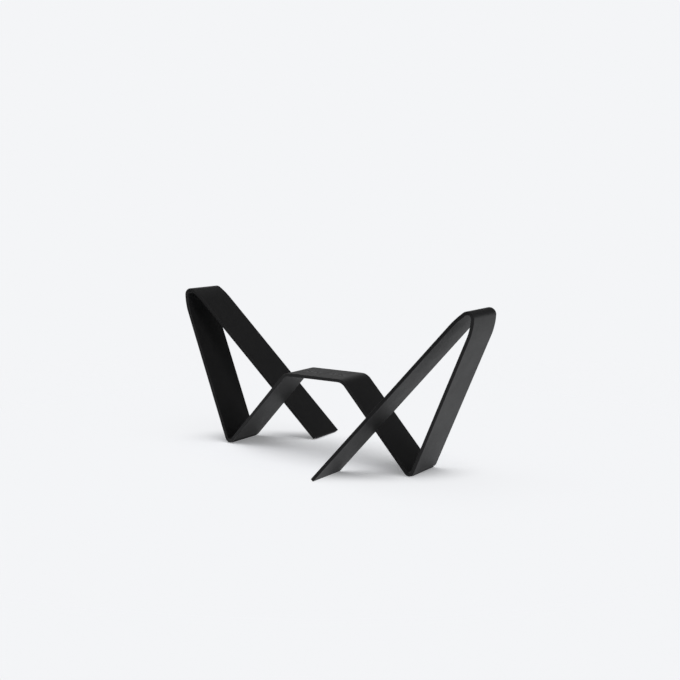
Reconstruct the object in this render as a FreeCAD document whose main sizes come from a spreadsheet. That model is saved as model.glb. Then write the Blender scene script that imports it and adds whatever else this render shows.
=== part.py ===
import FreeCAD, Part
import Sketcher
import math
import os
from FreeCAD import Vector as V

# Book stand: two identical steel flat bars, each bent about parallel fold lines that run
# along Y.  The fold lines are oblique to the bar, so every bar drifts steadily in Y as it
# runs from the saddle to its toe and the leg passes beside the strip that it crosses.
# +Z is up, the floor is Z = 0, the origin is on the two-fold axis.

os.makedirs("parts", exist_ok=True)
doc = FreeCAD.newDocument("book_stand")

# ---------------------------------------------------------------- driving dimensions (mm, deg)
DIMS = [
    ("bar_width", 45.0),        # flat bar, square to its own length
    ("bar_thick", 3.0),
    ("edge_round", 0.4),        # broken edge of the bar
    ("end_round", 0.25),        # broken edge of its two cut ends
    ("drift_deg", 8.87),        # obliqueness of the fold lines
    ("seam_gap", 0.01),         # butt gap between the two bars at the saddle
    ("bend_x", 27.9),           # saddle bend, centre and mid radius
    ("bend_z", 61.82),
    ("bend_rad", 12.7),
    ("foot_x", 107.37),         # foot bend
    ("foot_rad", 4.2),
    ("crest_x", 170.71),        # top hairpin
    ("crest_z", 140.41),
    ("crest_rad", 4.19),
    ("ease_rad", 54.5),         # soft lead-in of the outer strip below the hairpin
    ("ease_deg", 18.7),
    ("lean_rad", 76.2),         # soft lead-out of the leg below the hairpin
    ("lean_deg", 11.8),
    ("toe_x", 44.81),           # cut end of the leg
    ("pad_thick", 0.5),
    ("pad_len", 38.0),
    ("pad_half_deg", 38.0),
    ("toe_pad_tall", 2.3),
    ("plate_len", 50.0),        # splice plate under the saddle
    ("plate_wide", 16.0),
    ("plate_thick", 2.5),
    ("plate_corner", 2.0),
    ("screw_near", 9.0),        # screw positions from the seam
    ("screw_far", 19.0),
    ("screw_dia", 3.9),
    ("screw_len", 6.0),
    ("head_dia", 8.0),
    ("head_sink", 0.1),
    ("socket_flats", 2.5),
    ("socket_deep", 1.4),
    ("hole_dia", 4.5),
    ("sink_dia", 8.24),
    ("tap_dia", 4.0),
]
sheet = doc.addObject("Spreadsheet::Sheet", "dims")
for row, (name, value) in enumerate(DIMS, start=1):
    sheet.set("A%d" % row, name)
    sheet.set("B%d" % row, repr(value))
    sheet.setAlias("B%d" % row, name)
doc.recompute()
D = {name: float(sheet.get(name)) for name, _ in DIMS}

BETA = math.radians(D["drift_deg"])
SLOPE = math.tan(BETA)                       # Y drift per millimetre of developed length
T = D["bar_thick"]
WY = D["bar_width"] / math.cos(BETA)         # bar width measured along the fold lines
SADDLE_Z = D["bend_z"] + D["bend_rad"]       # mid plane of the saddle
FOOT_Z = D["pad_thick"] + T / 2 + D["foot_rad"]


def plane_of(body, role):
    for item in body.Origin.OriginFeatures:
        if item.Role == role:
            return item
    raise RuntimeError("no plane " + role)


def sketch_on(body, role, name, offset=0.0):
    sk = body.newObject("Sketcher::SketchObject", name)
    sk.AttachmentSupport = [(plane_of(body, role), "")]
    sk.MapMode = "FlatFace"
    sk.AttachmentOffset = FreeCAD.Placement(V(0, 0, offset), FreeCAD.Rotation())
    return sk


def dim(sk, constraint, name, expression):
    index = sk.addConstraint(constraint)
    sk.renameConstraint(index, name)
    sk.setExpression("Constraints." + name, expression)


def tangent(c1, r1, s1, c2, r2, s2):
    # directed line from circle 1 to circle 2; s = +1 when the circle is on its right hand
    dx, dz = c2[0] - c1[0], c2[1] - c1[1]
    dist = math.hypot(dx, dz)
    th = math.atan2(dz, dx) + math.asin((s2 * r2 - s1 * r1) / dist)
    rx, rz = math.sin(th), -math.cos(th)
    p1 = (c1[0] - s1 * r1 * rx, c1[1] - s1 * r1 * rz)
    p2 = (c2[0] - s2 * r2 * rx, c2[1] - s2 * r2 * rz)
    return p1, p2, th


# ---------------------------------------------------------------- centre line of one bar in the X-Z plane
def solve_line():
    cm, rm = (D["bend_x"], D["bend_z"]), D["bend_rad"]
    cb, rb = (D["foot_x"], FOOT_Z), D["foot_rad"]
    ct, rt = (D["crest_x"], D["crest_z"]), D["crest_rad"]
    re, ea = D["ease_rad"], math.radians(D["ease_deg"])
    m1, b1, th3 = tangent(cm, rm, 1, cb, rb, -1)
    ce = ct
    b2, e1, th2 = tangent(cb, rb, -1, ct, rt, -1)
    for _ in range(40):
        # centre of the soft lead-in, on the line through the hairpin centre
        n = (-math.sin(th2 + ea), math.cos(th2 + ea))
        ce = (ct[0] + (re - rt) * n[0], ct[1] + (re - rt) * n[1])
        b2, e1, th2 = tangent(cb, rb, -1, ce, re, -1)
    j = (ce[0] + re * math.sin(th2 + ea), ce[1] - re * math.cos(th2 + ea))
    # leg: soft lead-out of the hairpin, then straight to the toe, whose pad edge is on the floor
    rl, la = D["lean_rad"], math.radians(D["lean_deg"])
    toe = (D["toe_x"], 1.3)
    t1, toe_pt, th1 = tangent(ct, rt, -1, toe, 0.0, 1)
    for _ in range(40):
        n = (-math.sin(th1 - la), math.cos(th1 - la))
        cl = (ct[0] + (rl - rt) * n[0], ct[1] + (rl - rt) * n[1])
        t1, toe_pt, th1 = tangent(cl, rl, -1, toe, 0.0, 1)
        rise = -math.sin(th1)
        run = -math.cos(th1)
        toe = (D["toe_x"], D["toe_pad_tall"] / 2 * run + D["pad_thick"] * rise)
    k = (ct[0] + rt * math.sin(th1 - la), ct[1] - rt * math.cos(th1 - la))
    return dict(cm=cm, cb=cb, ct=ct, ce=ce, cl=cl, m1=m1, b1=b1, b2=b2, e1=e1, j=j, k=k, t1=t1,
                toe=toe, th1=th1, th2=th2, th3=th3)


L = solve_line()


def angle(c, p):
    return math.atan2(p[1] - c[1], p[0] - c[0])


def add_centre_line(body):
    sk = sketch_on(body, "XZ_Plane", body.Name + "_centre_line")
    z = V(0, 0, 1)

    def line(a, b):
        return Part.LineSegment(V(a[0], a[1], 0), V(b[0], b[1], 0))

    def arc(c, r, a0, a1):
        while a1 < a0:
            a1 += 2 * math.pi
        return Part.ArcOfCircle(Part.Circle(V(c[0], c[1], 0), z, r), a0, a1)

    start = (D["seam_gap"] / 2, SADDLE_Z)
    top = (D["bend_x"], SADDLE_Z)
    sk.addGeometry([
        line(start, top),
        arc(L["cm"], D["bend_rad"], angle(L["cm"], L["m1"]), math.pi / 2),
        line(L["m1"], L["b1"]),
        arc(L["cb"], D["foot_rad"], angle(L["cb"], L["b1"]), angle(L["cb"], L["b2"])),
        line(L["b2"], L["e1"]),
        arc(L["ce"], D["ease_rad"], angle(L["ce"], L["e1"]), angle(L["ce"], L["j"])),
        arc(L["ct"], D["crest_rad"], angle(L["ct"], L["j"]), angle(L["ct"], L["k"])),
        arc(L["cl"], D["lean_rad"], angle(L["cl"], L["k"]), angle(L["cl"], L["t1"])),
        line(L["t1"], L["toe"]),
    ], False)
    C = Sketcher.Constraint
    for a, pa, b, pb in ((0, 2, 1, 2), (1, 1, 2, 1), (2, 2, 3, 1), (3, 2, 4, 1), (4, 2, 5, 1),
                         (5, 2, 6, 1), (6, 2, 7, 1), (7, 2, 8, 1)):
        sk.addConstraint(C("Tangent", a, pa, b, pb))
    sk.addConstraint(C("Horizontal", 0))
    dim(sk, C("DistanceX", -1, 1, 0, 1, start[0]), "seam", "dims.seam_gap / 2")
    dim(sk, C("DistanceX", -1, 1, 1, 3, D["bend_x"]), "bend_at", "dims.bend_x")
    dim(sk, C("DistanceY", -1, 1, 1, 3, D["bend_z"]), "bend_up", "dims.bend_z")
    dim(sk, C("Radius", 1, D["bend_rad"]), "bend_r", "dims.bend_rad")
    dim(sk, C("DistanceX", -1, 1, 3, 3, D["foot_x"]), "foot_at", "dims.foot_x")
    dim(sk, C("DistanceY", -1, 1, 3, 3, FOOT_Z), "foot_up", "dims.pad_thick + dims.bar_thick / 2 + dims.foot_rad")
    dim(sk, C("Radius", 3, D["foot_rad"]), "foot_r", "dims.foot_rad")
    dim(sk, C("DistanceX", -1, 1, 6, 3, D["crest_x"]), "crest_at", "dims.crest_x")
    dim(sk, C("DistanceY", -1, 1, 6, 3, D["crest_z"]), "crest_up", "dims.crest_z")
    dim(sk, C("Radius", 6, D["crest_rad"]), "crest_r", "dims.crest_rad")
    dim(sk, C("Radius", 5, D["ease_rad"]), "ease_r", "dims.ease_rad")
    dim(sk, C("Radius", 7, D["lean_rad"]), "lean_r", "dims.lean_rad")
    dim(sk, C("DistanceX", -1, 1, 8, 2, D["toe_x"]), "toe_at", "dims.toe_x")
    sk.addConstraint(C("DistanceY", -1, 1, 8, 2, L["toe"][1]))
    sk.addConstraint(C("Angle", 5, math.radians(D["ease_deg"])))
    sk.addConstraint(C("Angle", 7, math.radians(D["lean_deg"])))
    doc.recompute()
    return sk


def spine_edges(sk):
    # lift the solved flat line into space: Y falls steadily with developed length
    geo = sk.Geometry
    s = D["seam_gap"] / 2
    edges, stations = [], []

    def point(x, z, at):
        return V(x, -SLOPE * at, z)

    def straight(seg, s0):
        a, b = seg.StartPoint, seg.EndPoint
        s1 = s0 + (b - a).Length
        edges.append(Part.LineSegment(point(a.x, a.y, s0), point(b.x, b.y, s1)).toShape())
        return s1

    def bend(arc, s0, forward):
        c, r = arc.Center, arc.Radius
        a0, a1 = arc.FirstParameter, arc.LastParameter
        if not forward:
            a0, a1 = a1, a0
        sense = 1.0 if a1 > a0 else -1.0
        count = max(4, int(abs(a1 - a0) / math.radians(15)) + 2)
        pts = []
        for i in range(count):
            a = a0 + (a1 - a0) * i / (count - 1)
            pts.append(point(c.x + r * math.cos(a), c.y + r * math.sin(a), s0 + abs(a - a0) * r))
        d0 = V(-math.sin(a0) * sense, -SLOPE, math.cos(a0) * sense)
        d1 = V(-math.sin(a1) * sense, -SLOPE, math.cos(a1) * sense)
        curve = Part.BSplineCurve()
        curve.interpolate(Points=pts, InitialTangent=d0, FinalTangent=d1)
        edges.append(curve.toShape())
        return s0 + abs(a1 - a0) * r

    for index, forward in enumerate((True, False, True, True, True, True, True, True, True)):
        stations.append(s)
        g = geo[index]
        s = straight(g, s) if index in (0, 2, 4, 8) else bend(g, s, forward)
    stations.append(s)
    return edges, stations


def add_section(body):
    # rounded bar section at the seam, in the Y-Z plane
    sk = sketch_on(body, "YZ_Plane", body.Name + "_section", D["seam_gap"] / 2)
    sk.setExpression("AttachmentOffset.Base.z", "dims.seam_gap / 2")
    r = D["edge_round"]
    yc = -SLOPE * D["seam_gap"] / 2
    y0, y1 = yc - WY / 2, yc + WY / 2
    z0, z1 = SADDLE_Z - T / 2, SADDLE_Z + T / 2
    up = V(0, 0, 1)
    hp = math.pi / 2

    def arc(y, z, a0):
        return Part.ArcOfCircle(Part.Circle(V(y, z, 0), up, r), a0, a0 + hp)

    sk.addGeometry([
        Part.LineSegment(V(y0 + r, z0, 0), V(y1 - r, z0, 0)),
        arc(y1 - r, z0 + r, -hp),
        Part.LineSegment(V(y1, z0 + r, 0), V(y1, z1 - r, 0)),
        arc(y1 - r, z1 - r, 0.0),
        Part.LineSegment(V(y1 - r, z1, 0), V(y0 + r, z1, 0)),
        arc(y0 + r, z1 - r, hp),
        Part.LineSegment(V(y0, z1 - r, 0), V(y0, z0 + r, 0)),
        arc(y0 + r, z0 + r, 2 * hp),
    ], False)
    C = Sketcher.Constraint
    for i in range(8):
        sk.addConstraint(C("Tangent", i, 2, (i + 1) % 8, 1))
    sk.addConstraint(C("Horizontal", 0))
    sk.addConstraint(C("Vertical", 2))
    for i in (3, 5, 7):
        sk.addConstraint(C("Equal", 1, i))
    dim(sk, C("Radius", 1, r), "round", "dims.edge_round")
    dim(sk, C("DistanceY", 0, 1, 4, 1, T), "thick", "dims.bar_thick")
    dim(sk, C("DistanceX", 6, 1, 2, 1, WY), "wide", "dims.bar_width / cos(dims.drift_deg * 1deg)")
    dim(sk, C("DistanceY", -1, 1, 0, 1, z0), "height", "dims.bend_z + dims.bend_rad - dims.bar_thick / 2")
    sk.addConstraint(C("DistanceX", -1, 1, 2, 1, y1))
    doc.recompute()
    return sk


def add_holes(body):
    # two countersunk clearance holes on the centre line of the saddle half
    sk = sketch_on(body, "XY_Plane", body.Name + "_holes", SADDLE_Z + T / 2)
    sk.setExpression("AttachmentOffset.Base.z", "dims.bend_z + dims.bend_rad + dims.bar_thick / 2")
    C = Sketcher.Constraint
    for i, name in enumerate(("screw_near", "screw_far")):
        x = D[name]
        sk.addGeometry(Part.Circle(V(x, -SLOPE * x, 0), V(0, 0, 1), D["hole_dia"] / 2), False)
        dim(sk, C("Diameter", i, D["hole_dia"]), "dia_%d" % i, "dims.hole_dia")
        dim(sk, C("DistanceX", -1, 1, i, 3, x), "at_x_%d" % i, "dims." + name)
        dim(sk, C("DistanceY", i, 3, -1, 1, SLOPE * x), "at_y_%d" % i,
            "dims.%s * tan(dims.drift_deg * 1deg)" % name)
    doc.recompute()
    hole = body.newObject("PartDesign::Hole", body.Name + "_countersinks")
    hole.Profile = sk
    hole.ThreadType = 0
    hole.Threaded = False
    hole.DepthType = "ThroughAll"
    hole.HoleCutType = "Countersink"
    hole.HoleCutCustomValues = True
    hole.Diameter = D["hole_dia"]
    hole.HoleCutDiameter = D["sink_dia"]
    hole.HoleCutCountersinkAngle = 90
    hole.setExpression("Diameter", "dims.hole_dia")
    hole.setExpression("HoleCutDiameter", "dims.sink_dia")
    doc.recompute()
    return hole


def break_ends(body, base):
    # broken edge round both cut ends: a hairline groove at the seam, a dressed toe
    toe = V(L["toe"][0], 0, L["toe"][1])
    along = V(math.cos(L["th1"]), 0, math.sin(L["th1"]))

    def on_cut(p):
        return abs(p.x - D["seam_gap"] / 2) < 1e-3 or abs((p - toe).dot(along)) < 1e-3

    names = []
    for i, edge in enumerate(base.Shape.Edges, start=1):
        a, b = edge.FirstParameter, edge.LastParameter
        if all(on_cut(edge.valueAt(a + (b - a) * f)) for f in (0.0, 0.5, 1.0)):
            names.append("Edge%d" % i)
    ends = body.newObject("PartDesign::Fillet", body.Name + "_broken_ends")
    ends.Base = (base, names)
    ends.Radius = D["end_round"]
    ends.setExpression("Radius", "dims.end_round")
    doc.recompute()
    return ends


HALF_TURN = FreeCAD.Placement(V(0, 0, 0), FreeCAD.Rotation(V(0, 0, 1), 180))
stations = None


def make_ribbon(label, turned):
    global stations
    body = doc.addObject("PartDesign::Body", label)
    body.Label = label
    line = add_centre_line(body)
    edges, stations = spine_edges(line)
    path = doc.addObject("Part::Feature", label + "_spine")
    path.Shape = Part.Wire(edges)
    section = add_section(body)
    sweep = body.newObject("PartDesign::AdditivePipe", label + "_bar")
    sweep.Profile = section
    sweep.Spine = (path, ["Edge%d" % (i + 1) for i in range(len(edges))])
    sweep.Mode = "Binormal"
    sweep.Binormal = V(1, 0, 0)          # fold direction, first axis of the section sketch
    doc.recompute()
    hole = add_holes(body)
    body.Tip = break_ends(body, hole)
    if turned:
        body.Placement = HALF_TURN
    doc.recompute()
    return body


right_ribbon = make_ribbon("right_ribbon", False)
left_ribbon = make_ribbon("left_ribbon", True)

# ---------------------------------------------------------------- pads under the floor contacts
S_FOOT = stations[3] + D["foot_rad"] * (-math.pi / 2 - angle(L["cb"], L["b1"])
                                        if angle(L["cb"], L["b1"]) < -math.pi / 2 else 0.0)
S_TOE = stations[-1]


def make_foot_pad(label, turned):
    body = doc.addObject("PartDesign::Body", label)
    body.Label = label
    yc = -SLOPE * S_FOOT
    sk = sketch_on(body, "XZ_Plane", label + "_film", -(yc + D["pad_len"] / 2))
    r0 = D["foot_rad"] + T / 2 + 0.02
    r1 = D["foot_rad"] + T / 2 + D["pad_thick"]
    h = math.radians(D["pad_half_deg"])
    a0, a1 = -math.pi / 2 - h, -math.pi / 2 + h
    c = V(D["foot_x"], FOOT_Z, 0)
    up = V(0, 0, 1)

    def at(r, a):
        return V(c.x + r * math.cos(a), c.y + r * math.sin(a), 0)

    sk.addGeometry([
        Part.ArcOfCircle(Part.Circle(c, up, r1), a0, a1),
        Part.LineSegment(at(r1, a1), at(r0, a1)),
        Part.ArcOfCircle(Part.Circle(c, up, r0), a0, a1),
        Part.LineSegment(at(r0, a0), at(r1, a0)),
    ], False)
    C = Sketcher.Constraint
    sk.addConstraint(C("Coincident", 0, 2, 1, 1))
    sk.addConstraint(C("Coincident", 1, 2, 2, 2))
    sk.addConstraint(C("Coincident", 2, 1, 3, 1))
    sk.addConstraint(C("Coincident", 3, 2, 0, 1))
    sk.addConstraint(C("Coincident", 0, 3, 2, 3))
    dim(sk, C("DistanceX", -1, 1, 0, 3, c.x), "at_x", "dims.foot_x")
    dim(sk, C("DistanceY", -1, 1, 0, 3, c.y), "at_z", "dims.pad_thick + dims.bar_thick / 2 + dims.foot_rad")
    dim(sk, C("Radius", 0, r1), "outer", "dims.foot_rad + dims.bar_thick / 2 + dims.pad_thick")
    dim(sk, C("Radius", 2, r0), "inner", "dims.foot_rad + dims.bar_thick / 2 + 0.02")
    doc.recompute()
    pad = body.newObject("PartDesign::Pad", label + "_length")
    pad.Profile = sk
    pad.Length = D["pad_len"]
    pad.setExpression("Length", "dims.pad_len")
    doc.recompute()
    body.Tip = pad
    if turned:
        body.Placement = HALF_TURN
    doc.recompute()
    return body


def make_toe_pad(label, turned):
    body = doc.addObject("PartDesign::Body", label)
    body.Label = label
    yc = -SLOPE * S_TOE
    sk = sketch_on(body, "XZ_Plane", label + "_strip", -(yc + D["pad_len"] / 2))
    ux, uz = math.cos(L["th1"]), math.sin(L["th1"])      # down the leg
    nx, nz = -uz, ux                                      # across the cut end
    h = D["toe_pad_tall"] / 2
    e = L["toe"]

    def at(along, across):
        return V(e[0] + ux * along + nx * across, e[1] + uz * along + nz * across, 0)

    pts = [at(0.02, -h), at(0.02, h), at(D["pad_thick"], h), at(D["pad_thick"], -h)]
    sk.addGeometry([Part.LineSegment(pts[i], pts[(i + 1) % 4]) for i in range(4)], False)
    C = Sketcher.Constraint
    for i in range(4):
        sk.addConstraint(C("Coincident", i, 2, (i + 1) % 4, 1))
    sk.addConstraint(C("Parallel", 0, 2))
    sk.addConstraint(C("Perpendicular", 0, 1))
    sk.addConstraint(C("Parallel", 1, 3))
    dim(sk, C("Distance", 0, 2 * h), "tall", "dims.toe_pad_tall")
    dim(sk, C("Distance", 1, D["pad_thick"] - 0.02), "thick", "dims.pad_thick - 0.02")
    doc.recompute()
    pad = body.newObject("PartDesign::Pad", label + "_length")
    pad.Profile = sk
    pad.Length = D["pad_len"]
    pad.setExpression("Length", "dims.pad_len")
    doc.recompute()
    body.Tip = pad
    if turned:
        body.Placement = HALF_TURN
    doc.recompute()
    return body


right_foot_pad = make_foot_pad("right_foot_pad", False)
left_foot_pad = make_foot_pad("left_foot_pad", True)
right_toe_pad = make_toe_pad("right_toe_pad", False)
left_toe_pad = make_toe_pad("left_toe_pad", True)


# ---------------------------------------------------------------- splice plate under the saddle
def make_plate():
    body = doc.addObject("PartDesign::Body", "splice_plate")
    body.Label = "splice_plate"
    top = SADDLE_Z - T / 2 - 0.02
    sk = sketch_on(body, "XY_Plane", "splice_plate_outline", top)
    hl, hw, c = D["plate_len"] / 2, D["plate_wide"] / 2, D["plate_corner"]
    pts = []
    for sx, sy in ((1, -1), (1, 1), (-1, 1), (-1, -1)):
        a = (sx * hl, sy * hw - SLOPE * sx * hl)
        along = (sx * (hl - c), sy * hw - SLOPE * sx * (hl - c))
        across = (sx * hl, sy * (hw - c) - SLOPE * sx * hl)
        pts += [along, across] if sx * sy < 0 else [across, along]
    pts = [V(p[0], p[1], 0) for p in pts]
    sk.addGeometry([Part.LineSegment(pts[i], pts[(i + 1) % 8]) for i in range(8)], False)
    for i in range(8):
        sk.addConstraint(Sketcher.Constraint("Coincident", i, 2, (i + 1) % 8, 1))
    doc.recompute()
    pad = body.newObject("PartDesign::Pad", "splice_plate_thick")
    pad.Profile = sk
    pad.Length = D["plate_thick"]
    pad.Reversed = True
    pad.setExpression("Length", "dims.plate_thick")
    doc.recompute()
    hs = sketch_on(body, "XY_Plane", "splice_plate_holes", top)
    for i, x in enumerate((D["screw_near"], D["screw_far"], -D["screw_near"], -D["screw_far"])):
        hs.addGeometry(Part.Circle(V(x, -SLOPE * x, 0), V(0, 0, 1), D["tap_dia"] / 2), False)
        dim(hs, Sketcher.Constraint("Diameter", i, D["tap_dia"]), "tap_%d" % i, "dims.tap_dia")
    doc.recompute()
    cut = body.newObject("PartDesign::Pocket", "splice_plate_taps")
    cut.Profile = hs
    cut.Type = "ThroughAll"
    doc.recompute()
    body.Tip = cut
    doc.recompute()
    return body


splice_plate = make_plate()


# ---------------------------------------------------------------- countersunk socket screws
def make_screw(index, x):
    top = SADDLE_Z + T / 2 - D["head_sink"]
    tall = (D["head_dia"] - D["screw_dia"]) / 2
    at = V(x, -SLOPE * x, 0)
    head = doc.addObject("Part::Cone", "screw_head_%d" % index)
    head.Radius1, head.Radius2, head.Height = D["screw_dia"] / 2, D["head_dia"] / 2, tall
    head.setExpression("Radius1", "dims.screw_dia / 2")
    head.setExpression("Radius2", "dims.head_dia / 2")
    head.setExpression("Height", "(dims.head_dia - dims.screw_dia) / 2")
    head.Placement = FreeCAD.Placement(at + V(0, 0, top - tall), FreeCAD.Rotation())
    shank = doc.addObject("Part::Cylinder", "screw_shank_%d" % index)
    shank.Radius, shank.Height = D["screw_dia"] / 2, D["screw_len"] - tall / 2
    shank.setExpression("Radius", "dims.screw_dia / 2")
    shank.setExpression("Height", "dims.screw_len - (dims.head_dia - dims.screw_dia) / 4")
    shank.Placement = FreeCAD.Placement(at + V(0, 0, top - D["screw_len"]), FreeCAD.Rotation())
    both = doc.addObject("Part::MultiFuse", "screw_blank_%d" % index)
    both.Shapes = [head, shank]
    socket = doc.addObject("Part::Prism", "screw_socket_%d" % index)
    socket.Polygon = 6
    socket.Circumradius = D["socket_flats"] / math.sqrt(3)
    socket.Height = D["socket_deep"] + 1.0
    socket.setExpression("Circumradius", "dims.socket_flats / sqrt(3)")
    socket.setExpression("Height", "dims.socket_deep + 1")
    socket.Placement = FreeCAD.Placement(at + V(0, 0, top - D["socket_deep"]), FreeCAD.Rotation())
    doc.recompute()
    screw = doc.addObject("Part::Cut", "screw_%d" % index)
    screw.Base, screw.Tool = both, socket
    doc.recompute()
    return screw


screws = [make_screw(i, x) for i, x in enumerate((D["screw_near"], D["screw_far"],
                                                  -D["screw_near"], -D["screw_far"]))]
splice_screws = doc.addObject("Part::Compound", "splice_screws")
splice_screws.Label = "splice_screws"
splice_screws.Links = screws
doc.recompute()

# ---------------------------------------------------------------- check and write
for obj in doc.Objects:
    for word in ("Invalid", "Error"):
        if word in obj.State:
            raise RuntimeError("%s is %s" % (obj.Name, obj.State))

for obj in (right_ribbon, left_ribbon, splice_plate, splice_screws, right_foot_pad,
            left_foot_pad, right_toe_pad, left_toe_pad):
    shape = obj.Shape
    if shape.isNull() or not shape.isValid():
        raise RuntimeError("bad shape " + obj.Label)
    shape.exportStep("parts/%s.step" % obj.Label)
    b = shape.BoundBox
    print("%-16s solids %d volume %9.1f  x %8.2f %8.2f  y %8.2f %8.2f  z %7.3f %8.2f" % (
        obj.Label, len(shape.Solids), shape.Volume, b.XMin, b.XMax, b.YMin, b.YMax, b.ZMin, b.ZMax))
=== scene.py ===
import bpy
import math
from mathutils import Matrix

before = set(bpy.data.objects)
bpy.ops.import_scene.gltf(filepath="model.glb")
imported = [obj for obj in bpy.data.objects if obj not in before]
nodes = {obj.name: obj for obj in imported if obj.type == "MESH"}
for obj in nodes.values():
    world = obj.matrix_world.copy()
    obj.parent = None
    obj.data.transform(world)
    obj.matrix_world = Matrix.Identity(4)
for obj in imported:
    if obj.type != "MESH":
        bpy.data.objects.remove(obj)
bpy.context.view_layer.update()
scene = bpy.context.scene


# --------------------------------------------------------------------------
# small helpers for node trees
# --------------------------------------------------------------------------

def fresh_material(name):
    mat = bpy.data.materials.new(name)
    mat.use_nodes = True
    tree = mat.node_tree
    tree.nodes.clear()
    out = tree.nodes.new("ShaderNodeOutputMaterial")
    return mat, tree, out


def add(tree, kind, inputs=None, **props):
    node = tree.nodes.new(kind)
    for key, value in props.items():
        setattr(node, key, value)
    for key, value in (inputs or {}).items():
        node.inputs[key].default_value = value
    return node


def noise(tree, where, scale, detail=2.0, rough=0.5, distort=0.0):
    node = add(tree, "ShaderNodeTexNoise",
               {"Scale": scale, "Detail": detail, "Roughness": rough, "Distortion": distort},
               noise_dimensions="3D")
    tree.links.new(where, node.inputs["Vector"])
    return node.outputs["Fac"]


def spread(tree, value, low, high, to_low, to_high, smooth=True):
    node = add(tree, "ShaderNodeMapRange",
               {"From Min": low, "From Max": high, "To Min": to_low, "To Max": to_high},
               interpolation_type="SMOOTHSTEP" if smooth else "LINEAR")
    tree.links.new(value, node.inputs["Value"])
    return node.outputs["Result"]


def maths(tree, operation, a, b=None, clamp=False):
    node = add(tree, "ShaderNodeMath", operation=operation, use_clamp=clamp)
    for slot, item in ((0, a), (1, b)):
        if item is None:
            continue
        if isinstance(item, (int, float)):
            node.inputs[slot].default_value = item
        else:
            tree.links.new(item, node.inputs[slot])
    return node.outputs[0]


def ramp(tree, value, *stops):
    node = add(tree, "ShaderNodeValToRGB")
    line = node.color_ramp
    line.interpolation = "EASE"
    while len(line.elements) < len(stops):
        line.elements.new(0.5)
    for element, (place, colour) in zip(line.elements, stops):
        element.position = place
        element.color = (*colour, 1.0)
    tree.links.new(value, node.inputs["Fac"])
    return node.outputs["Color"]


def blend_colour(tree, share, a, b):
    node = add(tree, "ShaderNodeMix", data_type="RGBA", blend_type="MIX")
    tree.links.new(share, node.inputs["Factor"])
    for socket, item in (("A", a), ("B", b)):
        target = [s for s in node.inputs if s.name == socket and s.type == "RGBA"][0]
        if isinstance(item, tuple):
            target.default_value = (*item, 1.0)
        else:
            tree.links.new(item, target)
    return [s for s in node.outputs if s.type == "RGBA"][0]


def bumped(tree, height, strength, distance, below=None):
    node = add(tree, "ShaderNodeBump", {"Strength": strength, "Distance": distance})
    tree.links.new(height, node.inputs["Height"])
    if below is not None:
        tree.links.new(below, node.inputs["Normal"])
    return node.outputs["Normal"]


# --------------------------------------------------------------------------
# satin black powder coat on bent steel bar
# --------------------------------------------------------------------------

def powder_coat(name):
    mat, tree, out = fresh_material(name)
    where = add(tree, "ShaderNodeTexCoord").outputs["Object"]
    normal = add(tree, "ShaderNodeNewGeometry").outputs["True Normal"]
    split = add(tree, "ShaderNodeSeparateXYZ")
    tree.links.new(normal, split.inputs[0])
    side = maths(tree, "ABSOLUTE", split.outputs["Y"])

    cloud = noise(tree, where, 38.0, 3.0, 0.55, 0.3)      # slow drift in gloss, about 26 mm
    patch = noise(tree, where, 170.0, 3.0, 0.6, 0.2)      # mottling, about 6 mm
    peel = noise(tree, where, 620.0, 2.0, 0.5)            # orange peel, about 1.6 mm
    grain = noise(tree, where, 2100.0, 2.0, 0.65)         # powder grain, about 0.5 mm

    # rounded arrises: the normal is part way between a flat face and a bar edge
    rise = spread(tree, side, 0.10, 0.45, 0.0, 1.0)
    fall = spread(tree, side, 0.80, 0.96, 1.0, 0.0)
    arris = maths(tree, "MULTIPLY", rise, fall)
    broken = spread(tree, patch, 0.42, 0.62, 0.15, 1.0)
    # edge mask for wear and a painted highlight: the arrises are lighter and glossier, broken up at random
    edge_wear_and_highlight = maths(tree, "MULTIPLY", arris, broken)

    tone = ramp(tree, patch, (0.30, (0.0022, 0.0021, 0.0023)), (0.70, (0.0040, 0.0039, 0.0041)))
    speck = spread(tree, grain, 0.60, 0.78, 0.0, 1.0)
    tone = blend_colour(tree, maths(tree, "MULTIPLY", speck, 0.30), tone, (0.011, 0.0108, 0.0112))
    # painted highlight and wear: the rounded arrises are painted lighter, partly as thinner coat and partly as a
    # painted edge highlight
    tone = blend_colour(tree, maths(tree, "MULTIPLY", edge_wear_and_highlight, 0.55), tone, (0.028, 0.0276, 0.028))

    gloss = maths(tree, "ADD",
                  spread(tree, cloud, 0.30, 0.70, 0.50, 0.54),
                  spread(tree, patch, 0.30, 0.70, -0.010, 0.012))
    gloss = maths(tree, "ADD", gloss, spread(tree, grain, 0.35, 0.70, -0.03, 0.04))
    gloss = maths(tree, "SUBTRACT", gloss, maths(tree, "MULTIPLY", edge_wear_and_highlight, 0.10))

    relief = bumped(tree, peel, 0.45, 0.00022)
    relief = bumped(tree, grain, 0.65, 0.00007, relief)

    shade = add(tree, "ShaderNodeBsdfPrincipled",
                {"Metallic": 0.0, "IOR": 1.5, "Specular IOR Level": 0.27})
    tree.links.new(tone, shade.inputs["Base Color"])
    tree.links.new(gloss, shade.inputs["Roughness"])
    tree.links.new(relief, shade.inputs["Normal"])
    tree.links.new(shade.outputs[0], out.inputs["Surface"])
    return mat


# --------------------------------------------------------------------------
# blackened steel of the countersunk screws: turned rings, and a duller socket whose colour is painted darker as the
# shade in its recess
# --------------------------------------------------------------------------

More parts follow.
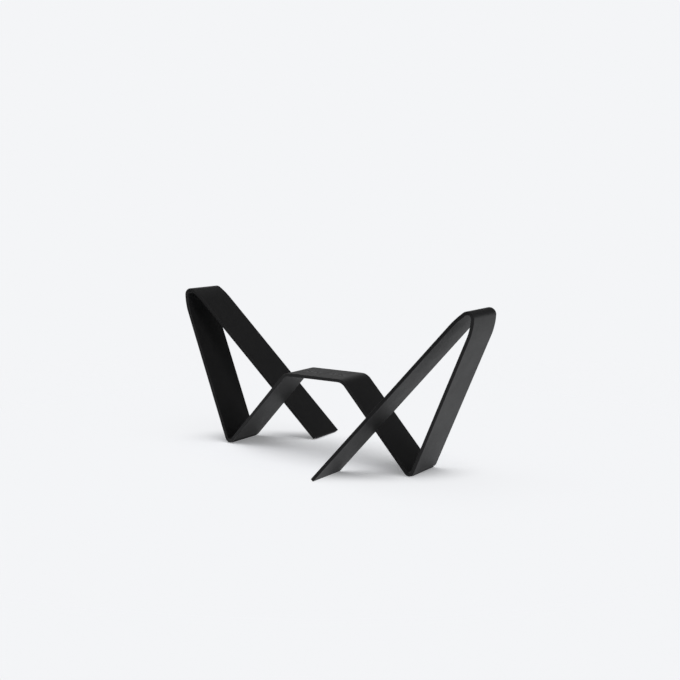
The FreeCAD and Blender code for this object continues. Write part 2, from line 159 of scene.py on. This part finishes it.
def black_oxide(name):
    mat, tree, out = fresh_material(name)
    where = add(tree, "ShaderNodeTexCoord").outputs["Object"]
    split = add(tree, "ShaderNodeSeparateXYZ")
    tree.links.new(where, split.inputs[0])
    flat = add(tree, "ShaderNodeCombineXYZ")
    tree.links.new(split.outputs["X"], flat.inputs["X"])
    tree.links.new(split.outputs["Y"], flat.inputs["Y"])

    # distance from the axis of the nearest screw, for the turned rings on its head
    out_from_axis = None
    for x in (-0.019, -0.009, 0.009, 0.019):
        gap = add(tree, "ShaderNodeVectorMath", operation="DISTANCE")
        gap.inputs[1].default_value = (x, -0.15606 * x, 0.0)
        tree.links.new(flat.outputs[0], gap.inputs[0])
        here = gap.outputs["Value"]
        out_from_axis = here if out_from_axis is None else maths(tree, "MINIMUM", out_from_axis, here)
    rings = maths(tree, "SINE", maths(tree, "MULTIPLY", out_from_axis, 2 * math.pi / 0.00032))

    patch = noise(tree, where, 700.0, 2.0, 0.5, 0.2)
    fine = noise(tree, where, 5200.0, 2.0, 0.6)
    # painted shade: below the head's top plane the socket is painted near black, as the shade in the recess, and made
    # rougher
    socket = spread(tree, split.outputs["Z"], 0.07532, 0.07587, 1.0, 0.0)
    tone = ramp(tree, patch, (0.30, (0.024, 0.0246, 0.026)), (0.72, (0.040, 0.041, 0.0435)))
    tone = blend_colour(tree, maths(tree, "MULTIPLY", socket, 0.9), tone, (0.0035, 0.0035, 0.0037))
    gloss = maths(tree, "ADD",
                  spread(tree, patch, 0.30, 0.70, 0.42, 0.49),
                  spread(tree, fine, 0.35, 0.65, -0.03, 0.05))
    gloss = maths(tree, "ADD", gloss, maths(tree, "MULTIPLY", rings, 0.025))
    gloss = maths(tree, "ADD", gloss, maths(tree, "MULTIPLY", socket, 0.25))
    relief = bumped(tree, rings, 0.10, 0.00002)
    relief = bumped(tree, fine, 0.25, 0.00003, relief)
    shade = add(tree, "ShaderNodeBsdfPrincipled",
                {"Metallic": 0.85, "IOR": 1.5, "Specular IOR Level": 0.5})
    tree.links.new(tone, shade.inputs["Base Color"])
    tree.links.new(gloss, shade.inputs["Roughness"])
    tree.links.new(relief, shade.inputs["Normal"])
    tree.links.new(shade.outputs[0], out.inputs["Surface"])
    return mat


# --------------------------------------------------------------------------
# thin rubber film under the feet and toes
# --------------------------------------------------------------------------

def rubber_film(name):
    mat, tree, out = fresh_material(name)
    where = add(tree, "ShaderNodeTexCoord").outputs["Object"]
    patch = noise(tree, where, 420.0, 3.0, 0.6)
    fine = noise(tree, where, 3200.0, 2.0, 0.6)
    tone = ramp(tree, patch, (0.30, (0.0085, 0.0085, 0.0088)), (0.72, (0.017, 0.0168, 0.0170)))
    gloss = maths(tree, "ADD",
                  spread(tree, patch, 0.30, 0.70, 0.66, 0.80),
                  spread(tree, fine, 0.35, 0.65, -0.04, 0.04))
    relief = bumped(tree, fine, 0.35, 0.00006)
    shade = add(tree, "ShaderNodeBsdfPrincipled",
                {"Metallic": 0.0, "IOR": 1.5, "Specular IOR Level": 0.35})
    tree.links.new(tone, shade.inputs["Base Color"])
    tree.links.new(gloss, shade.inputs["Roughness"])
    tree.links.new(relief, shade.inputs["Normal"])
    tree.links.new(shade.outputs[0], out.inputs["Surface"])
    return mat


def dress(node, mat):
    obj = nodes[node]
    if not obj.material_slots:
        obj.data.materials.append(mat)
    for slot in obj.material_slots:
        slot.material = mat


coat = powder_coat("black_powder_coat")
oxide = black_oxide("black_oxide_steel")
film = rubber_film("black_rubber_film")
for node in ("right_ribbon", "left_ribbon", "splice_plate"):
    dress(node, coat)
dress("splice_screws", oxide)
for node in ("right_foot_pad", "left_foot_pad", "right_toe_pad", "left_toe_pad"):
    dress(node, film)


# --------------------------------------------------------------------------
# floor: a pale disc that thins out into the pale surround
# --------------------------------------------------------------------------

def pale_floor():
    rings, turns, reach = 24, 96, 4.0
    points, faces = [(0.0, 0.0, 0.0)], []
    for i in range(1, rings + 1):
        r = reach * (i / rings) ** 1.6
        for j in range(turns):
            a = 2 * math.pi * j / turns
            points.append((r * math.cos(a), r * math.sin(a), 0.0))
    for j in range(turns):
        faces.append((0, 1 + j, 1 + (j + 1) % turns))
    for i in range(rings - 1):
        for j in range(turns):
            a, b = 1 + i * turns + j, 1 + i * turns + (j + 1) % turns
            faces.append((a, a + turns, b + turns, b))
    mesh = bpy.data.meshes.new("floor")
    mesh.from_pydata(points, [], faces)
    floor = bpy.data.objects.new("floor", mesh)
    floor.location = (0.0, 0.0, -0.0001)
    scene.collection.objects.link(floor)

    mat, tree, out = fresh_material("pale_floor")
    where = add(tree, "ShaderNodeTexCoord").outputs["Object"]
    far = add(tree, "ShaderNodeVectorMath", operation="LENGTH")
    tree.links.new(where, far.inputs[0])
    fade = spread(tree, far.outputs["Value"], 0.24, 0.80, 0.0, 1.0)
    # painted light: beyond the feet the floor glows by its own emission and takes little lamp light, so shade shows
    # between the feet and thins out beyond them
    oval = add(tree, "ShaderNodeVectorMath", operation="MULTIPLY_ADD")
    oval.inputs[1].default_value = (1 / 0.130, 1 / 0.075, 0.0)
    oval.inputs[2].default_value = (0.010 / 0.130, 0.0, 0.0)
    tree.links.new(where, oval.inputs[0])
    out_from_middle = add(tree, "ShaderNodeVectorMath", operation="LENGTH")
    tree.links.new(oval.outputs[0], out_from_middle.inputs[0])
    floor_glow_share = spread(tree, out_from_middle.outputs["Value"], 0.85, 1.35, 0.0, 1.0)
    paper = add(tree, "ShaderNodeBsdfDiffuse")
    tree.links.new(blend_colour(tree, floor_glow_share, (0.892, 0.900, 0.917), (0.1338, 0.1350, 0.1376)),
                   paper.inputs["Color"])
    lamp = add(tree, "ShaderNodeEmission", {"Color": (0.9047, 0.9131, 0.9301, 1.0)})
    tree.links.new(spread(tree, floor_glow_share, 0.0, 1.0, 0.239, 0.886, smooth=False), lamp.inputs["Strength"])
    both = add(tree, "ShaderNodeAddShader")
    tree.links.new(paper.outputs[0], both.inputs[0])
    tree.links.new(lamp.outputs[0], both.inputs[1])
    clear = add(tree, "ShaderNodeBsdfTransparent")
    mixed = add(tree, "ShaderNodeMixShader")
    tree.links.new(fade, mixed.inputs[0])
    tree.links.new(both.outputs[0], mixed.inputs[1])
    tree.links.new(clear.outputs[0], mixed.inputs[2])
    tree.links.new(mixed.outputs[0], out.inputs["Surface"])
    mesh.materials.append(mat)
    return floor


floor = pale_floor()


# --------------------------------------------------------------------------
# surround: even and pale to look at, brighter low down than overhead as light
# --------------------------------------------------------------------------

world = bpy.data.worlds.new("studio")
scene.world = world
world.use_nodes = True
sky = world.node_tree
sky.nodes.clear()
sky_out = add(sky, "ShaderNodeOutputWorld")
heading = add(sky, "ShaderNodeTexCoord").outputs["Generated"]
parts = add(sky, "ShaderNodeSeparateXYZ")
sky.links.new(heading, parts.inputs[0])
height = spread(sky, parts.outputs["Z"], -1.0, 1.0, 0.0, 1.0, smooth=False)
glow = ramp(sky, height,
            (0.00, (0.90, 0.91, 0.92)),
            (0.49, (0.90, 0.91, 0.92)),
            (0.55, (0.072, 0.072, 0.073)),
            (1.00, (0.072, 0.072, 0.073)))
# the far floor on the viewer's side is dimmer, so the near bar edges stay dark
front = spread(sky, parts.outputs["Y"], -0.60, 0.0, 1.0, 0.0)
shallow = maths(sky, "MULTIPLY",
                spread(sky, parts.outputs["Z"], -0.55, -0.20, 0.0, 1.0),
                spread(sky, parts.outputs["Z"], 0.0, 0.12, 0.8, 0.0))
glow = blend_colour(sky, maths(sky, "MULTIPLY", front, shallow), glow, (0.22, 0.222, 0.226))
# a high, broad glow on the viewer's side fills the upper faces and the front shadows
ahead = spread(sky, parts.outputs["Y"], -0.50, 0.15, 1.0, 0.0)
above = spread(sky, parts.outputs["Z"], 0.40, 0.75, 0.0, 1.0)
glow = blend_colour(sky, maths(sky, "MULTIPLY", ahead, above), glow, (1.00, 1.01, 1.03))
# softer glow in the front right quarter, for a sheen on the legs
across = maths(sky, "MULTIPLY", parts.outputs["X"], maths(sky, "MULTIPLY", parts.outputs["Y"], -1.0))
quarter = maths(sky, "MULTIPLY",
                spread(sky, across, 0.08, 0.36, 0.0, 1.0),
                spread(sky, parts.outputs["Y"], -0.05, 0.05, 1.0, 0.0))
raised = spread(sky, parts.outputs["Z"], 0.14, 0.42, 0.0, 1.0)
glow = blend_colour(sky, maths(sky, "MULTIPLY", quarter, maths(sky, "MULTIPLY", raised, 0.5)),
                    glow, (1.0, 1.007, 1.02))
# a faint glow at the back, so the upper faces are not lost in black
behind = spread(sky, parts.outputs["Y"], 0.35, 0.85, 0.0, 1.0)
middle = maths(sky, "MULTIPLY",
               spread(sky, parts.outputs["Z"], 0.12, 0.38, 0.0, 1.0),
               spread(sky, parts.outputs["Z"], 0.62, 0.90, 1.0, 0.0))
glow = blend_colour(sky, maths(sky, "MULTIPLY", behind, middle), glow, (0.170, 0.171, 0.175))
lit = add(sky, "ShaderNodeBackground", {"Strength": 1.0})
sky.links.new(glow, lit.inputs["Color"])
seen = add(sky, "ShaderNodeBackground", {"Color": (0.9047, 0.9131, 0.9301, 1.0), "Strength": 1.0})
path = add(sky, "ShaderNodeLightPath")
pick = add(sky, "ShaderNodeMixShader")
sky.links.new(path.outputs["Is Camera Ray"], pick.inputs[0])
sky.links.new(lit.outputs[0], pick.inputs[1])
sky.links.new(seen.outputs[0], pick.inputs[2])
sky.links.new(pick.outputs[0], sky_out.inputs["Surface"])


# --------------------------------------------------------------------------
# soft boxes
# --------------------------------------------------------------------------

def soft_box(name, place, aim, wide, tall, watts, colour=(1.0, 1.0, 1.0)):
    lamp = bpy.data.lights.new(name, "AREA")
    lamp.shape = "RECTANGLE"
    lamp.size, lamp.size_y = wide, tall
    lamp.energy = watts
    lamp.color = colour
    obj = bpy.data.objects.new(name, lamp)
    scene.collection.objects.link(obj)
    obj.location = place
    from mathutils import Vector
    obj.rotation_euler = (Vector(aim) - Vector(place)).to_track_quat("-Z", "Y").to_euler()
    obj.visible_camera = False
    return obj


soft_box("overhead_box", (0.1, -0.6, 3.0), (0.1, -0.6, 0.0), 5.6, 5.6, 24.0)
sides = (soft_box("right_box", (1.70, -0.20, 0.75), (0.05, 0.0, 0.03), 1.1, 0.9, 13.5),
         soft_box("left_box", (-1.75, -0.35, 1.05), (-0.05, 0.0, 0.0), 1.2, 1.0, 8.5),
         soft_box("back_left_box", (-1.60, 1.60, 1.30), (-0.05, 0.0, 0.05), 2.4, 1.8, 7.0))
# the side boxes light the bars only, so they throw no streaks of shadow on the floor
bars_only = bpy.data.collections.new("bars_only")
for node in nodes.values():
    bars_only.objects.link(node)
for box in sides:
    box.light_linking.receiver_collection = bars_only
# and one box over the table lights the floor only, for the soft shade between the feet
table_only = bpy.data.collections.new("table_only")
table_only.objects.link(floor)
soft_box("table_box", (0.0, 0.0, 2.2), (0.0, 0.0, 0.0), 2.0, 2.0, 19.5).light_linking.receiver_collection = table_only


# --------------------------------------------------------------------------
# camera
# --------------------------------------------------------------------------

lens = bpy.data.cameras.new("camera")
lens.sensor_fit = "AUTO"
lens.sensor_width = 36.0
lens.lens = 63.06
lens.clip_start, lens.clip_end = 0.01, 100.0
camera = bpy.data.objects.new("camera", lens)
scene.collection.objects.link(camera)
camera.location = (0.54928, -0.93216, 0.23319)
camera.rotation_euler = (math.radians(83.318), 0.0, math.radians(29.811))
scene.camera = camera

scene.view_settings.view_transform = "Standard"
scene.view_settings.look = "None"
scene.view_settings.exposure = 0.0
scene.view_settings.gamma = 1.0
